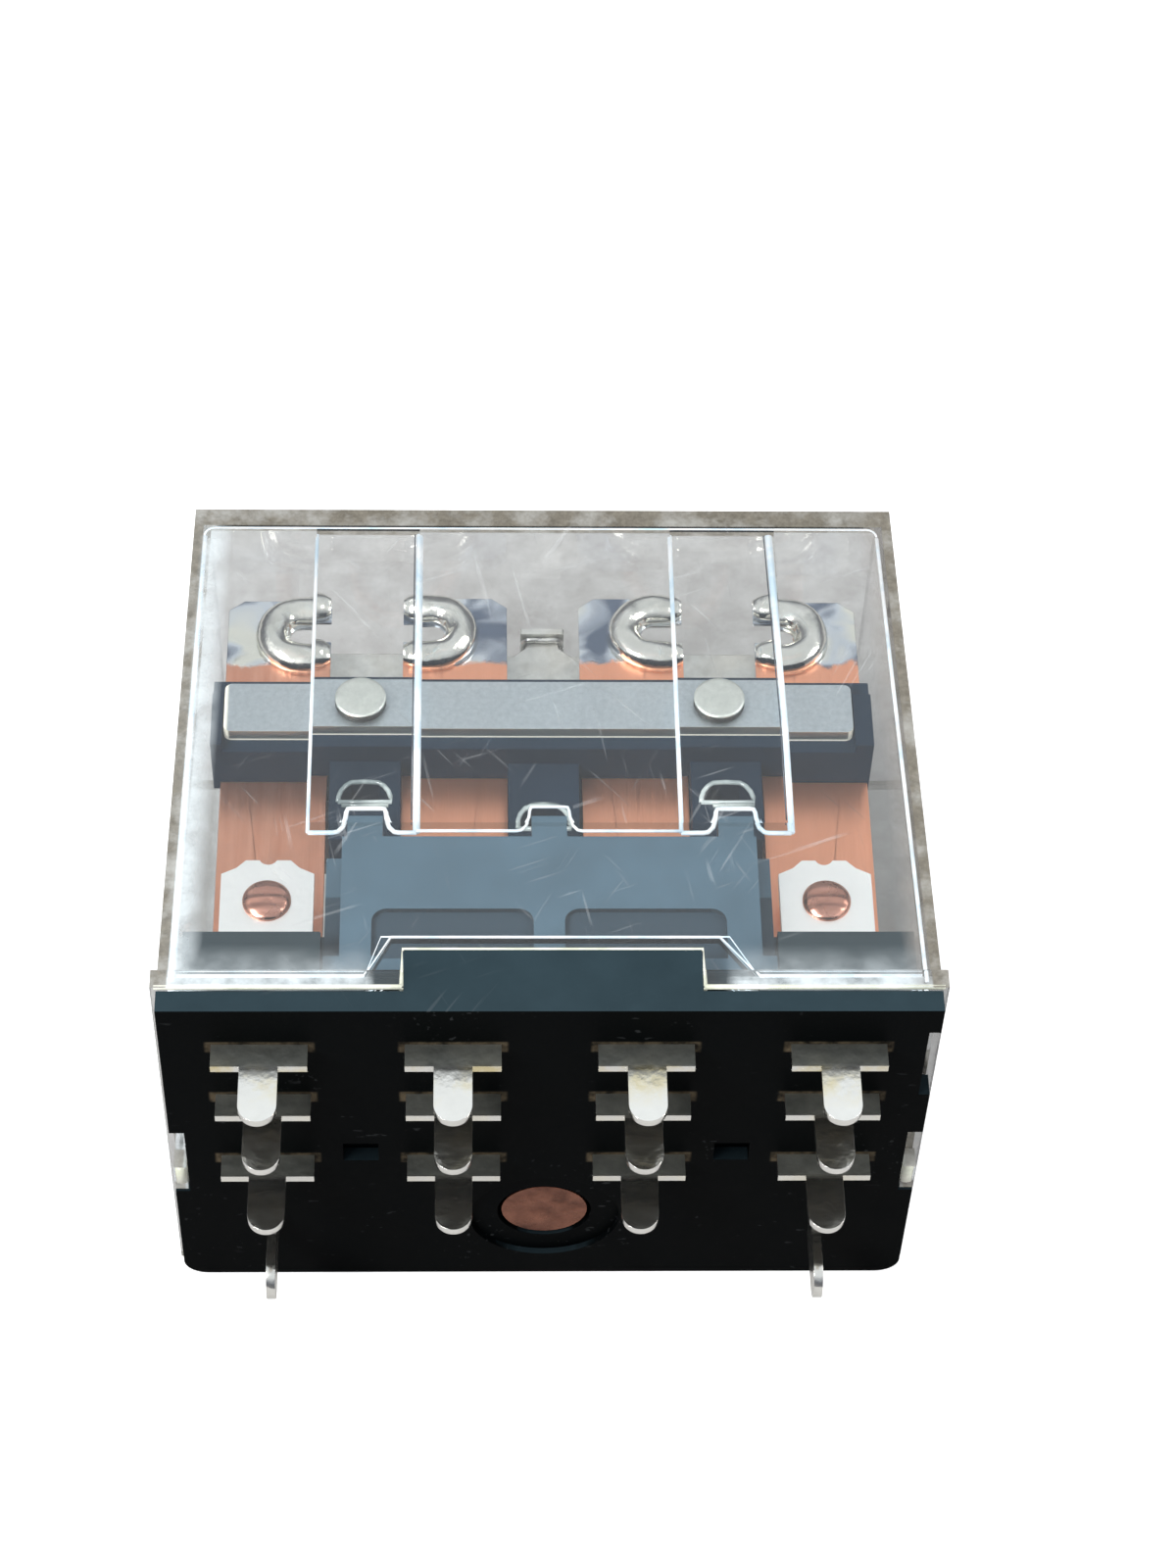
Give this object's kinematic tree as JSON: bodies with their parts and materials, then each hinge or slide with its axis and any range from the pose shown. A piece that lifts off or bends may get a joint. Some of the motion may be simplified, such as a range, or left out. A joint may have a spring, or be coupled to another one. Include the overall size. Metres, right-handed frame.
{
  "type": "plug-in control relay",
  "caption": "Plug-in electromechanical relay with a clear cover over a hinged armature, leaf contact springs and flat blade terminals.",
  "frame": {"origin": "centre of the seating face, where the blades leave the base", "axes": "+X across the poles, +Y from the blades towards the closed end of the cover, +Z from the coil side to the contact side"},
  "size_m": [0.041, 0.0389, 0.0274],
  "materials": {
    "black_moulding": "fine moulded texture, satin",
    "clear_polycarbonate": "clear, glossy, light scratches",
    "barrier_moulding": "satin",
    "card_moulding": "satin",
    "bobbin_moulding": "satin",
    "nickel_iron": "nickel plated, soft",
    "copper_plated_iron": "copper plated, riveted end",
    "enamelled_wire": "enamelled copper",
    "coil_tape": "polyester tape",
    "spring_wire": "drawn wire",
    "contact_rivet": "silver face on a copper rivet",
    "clamp_steel": "nickel plated, grainy",
    "rivet_steel": "nickel plated, rolled head",
    "tinned_blade": "bright tinned, with flux stain",
    "copper_spring": "rolled copper alloy strip",
    "solder": "bright solder fillet",
    "copper_braid": "fine stranded copper"
  },
  "bodies": {
    "frame": {"base": "black_moulding", "cover": "clear_polycarbonate", "contact_barrier": "barrier_moulding", "yoke": "nickel_iron", "pole_plate": "nickel_iron", "core": "copper_plated_iron", "coil_bobbin": "bobbin_moulding", "coil_winding": "enamelled_wire", "coil_tape": "coil_tape", "coil_leads": "enamelled_wire", "return_spring": "spring_wire", "nc_contacts": "contact_rivet", "no_contacts": "contact_rivet", "coil_terminal_left": "tinned_blade", "coil_terminal_right": "tinned_blade", "nc_terminal_1": "tinned_blade", "nc_terminal_2": "tinned_blade", "nc_terminal_3": "tinned_blade", "nc_terminal_4": "tinned_blade", "no_terminal_1": "tinned_blade", "no_terminal_2": "tinned_blade", "no_terminal_3": "tinned_blade", "no_terminal_4": "tinned_blade", "com_terminal_1": "tinned_blade", "com_terminal_2": "tinned_blade", "com_terminal_3": "tinned_blade", "com_terminal_4": "tinned_blade", "flex_lead_1": "copper_braid", "flex_lead_2": "copper_braid", "flex_lead_3": "copper_braid", "flex_lead_4": "copper_braid"},
    "armature_assembly": {"armature": "nickel_iron", "armature_card": "card_moulding", "clamp_plate": "clamp_steel", "card_rivets": "rivet_steel", "moving_contacts": "contact_rivet", "contact_spring_1": "copper_spring", "contact_spring_2": "copper_spring", "contact_spring_3": "copper_spring", "contact_spring_4": "copper_spring", "solder_joint_1": "solder", "solder_joint_2": "solder", "solder_joint_3": "solder", "solder_joint_4": "solder"}
  },
  "joints": [
    {"name": "armature_hinge", "type": "hinge", "parent": "frame", "child": "armature_assembly", "pos_m": [0, 0.0274, 0.0031], "axis": [1, 0, 0], "range_deg": [0, 3.2], "stiffness_Nm_per_rad": 0.005, "springref_deg": -11.46, "deforming": ["return_spring"]}
  ]
}
